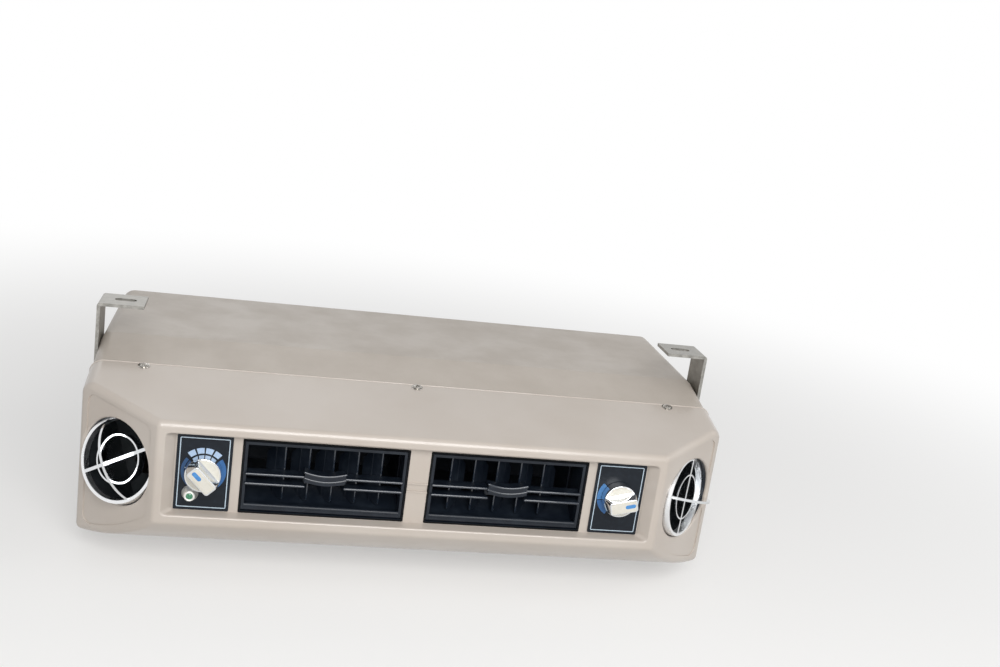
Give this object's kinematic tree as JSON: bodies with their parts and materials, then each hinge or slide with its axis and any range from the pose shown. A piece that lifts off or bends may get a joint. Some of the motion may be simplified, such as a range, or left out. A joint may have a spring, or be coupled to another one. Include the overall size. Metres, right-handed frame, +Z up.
{
  "type": "under-dash car air conditioner",
  "caption": "Under-dash air-conditioning unit for a classic car: painted housing with tilting louvres, round ball outlets, turning knobs and steel hangers.",
  "frame": {"origin": "midway between the two hanger bolt slots, on the flanges' top faces", "axes": "+Z up, +Y back under the dash, +X to the passengers' right"},
  "size_m": [0.483, 0.3053, 0.172],
  "materials": {
    "housing_paint": "gloss beige paint on a moulding",
    "case_paint": "gloss beige paint on sheet steel",
    "black_plastic": "satin black moulding",
    "chrome": "bright plating",
    "knob_plastic": "gloss cream moulding",
    "plate_black": "printed black plate",
    "lamp_green": "green lens",
    "hanger_steel": "zinc-plated strap",
    "core_fins": "finned block",
    "brass": "turned brass"
  },
  "bodies": {
    "housing": {"front_bezel": "housing_paint", "rear_case": "case_paint", "case_pan": "case_paint", "drain_spout_left": "black_plastic", "drain_spout_right": "black_plastic", "evaporator_core": "core_fins", "suction_fitting": "brass", "liquid_fitting": "brass", "hanger_left": "hanger_steel", "hanger_right": "hanger_steel", "ball_socket_left": "black_plastic", "ball_socket_right": "black_plastic", "louvre_frame_left": "black_plastic", "louvre_frame_right": "black_plastic", "fan_plate": "plate_black", "temp_plate": "plate_black", "fan_switch": "black_plastic", "temp_switch": "black_plastic", "lamp_bezel": "chrome", "lamp_lens": "lamp_green"},
    "louvre_drum_left": {"louvre_drum_left": "black_plastic"},
    "swivel_vane_left_1": {"swivel_vane_left_1": "black_plastic"},
    "swivel_vane_left_2": {"swivel_vane_left_2": "black_plastic"},
    "swivel_vane_left_3": {"swivel_vane_left_3": "black_plastic"},
    "swivel_vane_left_4": {"swivel_vane_left_4": "black_plastic"},
    "swivel_vane_left_5": {"swivel_vane_left_5": "black_plastic"},
    "outlet_ball_left": {"ball_ring_left": "chrome", "ball_vanes_left": "chrome", "ball_bowl_left": "black_plastic"},
    "louvre_drum_right": {"louvre_drum_right": "black_plastic"},
    "swivel_vane_right_1": {"swivel_vane_right_1": "black_plastic"},
    "swivel_vane_right_2": {"swivel_vane_right_2": "black_plastic"},
    "swivel_vane_right_3": {"swivel_vane_right_3": "black_plastic"},
    "swivel_vane_right_4": {"swivel_vane_right_4": "black_plastic"},
    "swivel_vane_right_5": {"swivel_vane_right_5": "black_plastic"},
    "outlet_ball_right": {"ball_ring_right": "chrome", "ball_vanes_right": "chrome", "ball_bowl_right": "black_plastic"},
    "fan_control": {"fan_knob": "knob_plastic", "fan_shaft": "hanger_steel"},
    "temp_control": {"temp_knob": "knob_plastic", "temp_shaft": "hanger_steel"}
  },
  "joints": [
    {"name": "left_louvre_tilt", "type": "hinge", "parent": "housing", "child": "louvre_drum_left", "pos_m": [-0.0665, -0.108, -0.089], "axis": [1, 0, 0], "range_deg": [-20, 20]},
    {"name": "left_vane_swing_1", "type": "hinge", "parent": "louvre_drum_left", "child": "swivel_vane_left_1", "pos_m": [-0.1013, -0.095, -0.089], "axis": [0, 0, 1], "range_deg": [-84, 0]},
    {"name": "left_vane_swing_2", "type": "hinge", "parent": "louvre_drum_left", "child": "swivel_vane_left_2", "pos_m": [-0.0839, -0.095, -0.089], "axis": [0, 0, 1], "range_deg": [-84, 0]},
    {"name": "left_vane_swing_3", "type": "hinge", "parent": "louvre_drum_left", "child": "swivel_vane_left_3", "pos_m": [-0.0665, -0.095, -0.089], "axis": [0, 0, 1], "range_deg": [-84, 0]},
    {"name": "left_vane_swing_4", "type": "hinge", "parent": "louvre_drum_left", "child": "swivel_vane_left_4", "pos_m": [-0.0491, -0.095, -0.089], "axis": [0, 0, 1], "range_deg": [-84, 0]},
    {"name": "left_vane_swing_5", "type": "hinge", "parent": "louvre_drum_left", "child": "swivel_vane_left_5", "pos_m": [-0.0317, -0.095, -0.089], "axis": [0, 0, 1], "range_deg": [-84, 0]},
    {"name": "left_ball_nod", "type": "hinge", "parent": "housing", "child": "outlet_ball_left", "pos_m": [-0.20709, -0.09104, -0.0919], "axis": [-0.766, 0.6428, 0], "range_deg": [-36, 6]},
    {"name": "right_louvre_tilt", "type": "hinge", "parent": "housing", "child": "louvre_drum_right", "pos_m": [0.0665, -0.108, -0.089], "axis": [1, 0, 0], "range_deg": [-20, 20]},
    {"name": "right_vane_swing_1", "type": "hinge", "parent": "louvre_drum_right", "child": "swivel_vane_right_1", "pos_m": [0.0317, -0.095, -0.089], "axis": [0, 0, 1], "range_deg": [0, 84]},
    {"name": "right_vane_swing_2", "type": "hinge", "parent": "louvre_drum_right", "child": "swivel_vane_right_2", "pos_m": [0.0491, -0.095, -0.089], "axis": [0, 0, 1], "range_deg": [0, 84]},
    {"name": "right_vane_swing_3", "type": "hinge", "parent": "louvre_drum_right", "child": "swivel_vane_right_3", "pos_m": [0.0665, -0.095, -0.089], "axis": [0, 0, 1], "range_deg": [0, 84]},
    {"name": "right_vane_swing_4", "type": "hinge", "parent": "louvre_drum_right", "child": "swivel_vane_right_4", "pos_m": [0.0839, -0.095, -0.089], "axis": [0, 0, 1], "range_deg": [0, 84]},
    {"name": "right_vane_swing_5", "type": "hinge", "parent": "louvre_drum_right", "child": "swivel_vane_right_5", "pos_m": [0.1013, -0.095, -0.089], "axis": [0, 0, 1], "range_deg": [0, 84]},
    {"name": "right_ball_nod", "type": "hinge", "parent": "housing", "child": "outlet_ball_right", "pos_m": [0.20709, -0.09104, -0.0919], "axis": [-0.766, -0.6428, 0], "range_deg": [-24, 18]},
    {"name": "fan_turn", "type": "hinge", "parent": "housing", "child": "fan_control", "pos_m": [-0.151, -0.115, -0.0868], "axis": [0, 1, 0], "range_deg": [0, 92]},
    {"name": "temp_turn", "type": "hinge", "parent": "housing", "child": "temp_control", "pos_m": [0.151, -0.115, -0.0868], "axis": [0, 1, 0], "range_deg": [-46, 239]}
  ],
  "couplings": [
    {"joint": "left_vane_swing_2", "follows": "left_vane_swing_1", "ratio": 1},
    {"joint": "left_vane_swing_3", "follows": "left_vane_swing_1", "ratio": 1},
    {"joint": "left_vane_swing_4", "follows": "left_vane_swing_1", "ratio": 1},
    {"joint": "left_vane_swing_5", "follows": "left_vane_swing_1", "ratio": 1},
    {"joint": "right_vane_swing_2", "follows": "right_vane_swing_1", "ratio": 1},
    {"joint": "right_vane_swing_3", "follows": "right_vane_swing_1", "ratio": 1},
    {"joint": "right_vane_swing_4", "follows": "right_vane_swing_1", "ratio": 1},
    {"joint": "right_vane_swing_5", "follows": "right_vane_swing_1", "ratio": 1}
  ]
}
